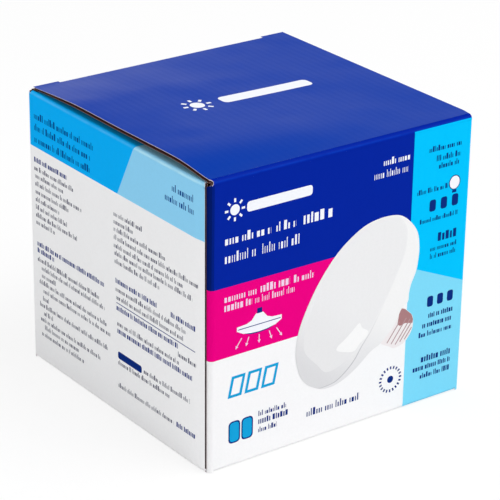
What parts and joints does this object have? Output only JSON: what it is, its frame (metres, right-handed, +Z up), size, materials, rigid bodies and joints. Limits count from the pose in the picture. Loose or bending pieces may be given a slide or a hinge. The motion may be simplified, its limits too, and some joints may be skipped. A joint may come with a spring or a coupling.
{
  "type": "printed tuck-top carton with a flat round bulb",
  "caption": "Printed cardboard carton with a hinged slit-lock tuck lid, dust flaps and a glued auto-lock bottom, holding a flat round screw-cap bulb.",
  "frame": {"origin": "middle of the carton's underside", "axes": "+Z up, the front panel faces -Y, the glued side panel faces -X; the lid hinges along X at the front panel's top edge"},
  "size_m": [0.13, 0.1284, 0.123],
  "materials": {
    "board": "printed microflute board, satin varnish outside, kraft brown inside",
    "bulb": "opal white diffuser and housing, bright metal screw cap"
  },
  "bodies": {
    "carton": {"carton": "board", "led_bulb": "bulb"},
    "lid": {"lid": "board"}
  },
  "joints": [
    {"name": "lid_hinge", "type": "hinge", "parent": "carton", "child": "lid", "pos_m": [0, -0.06366, 0.12241], "axis": [1, 0, 0], "range_deg": [0, 180]}
  ]
}
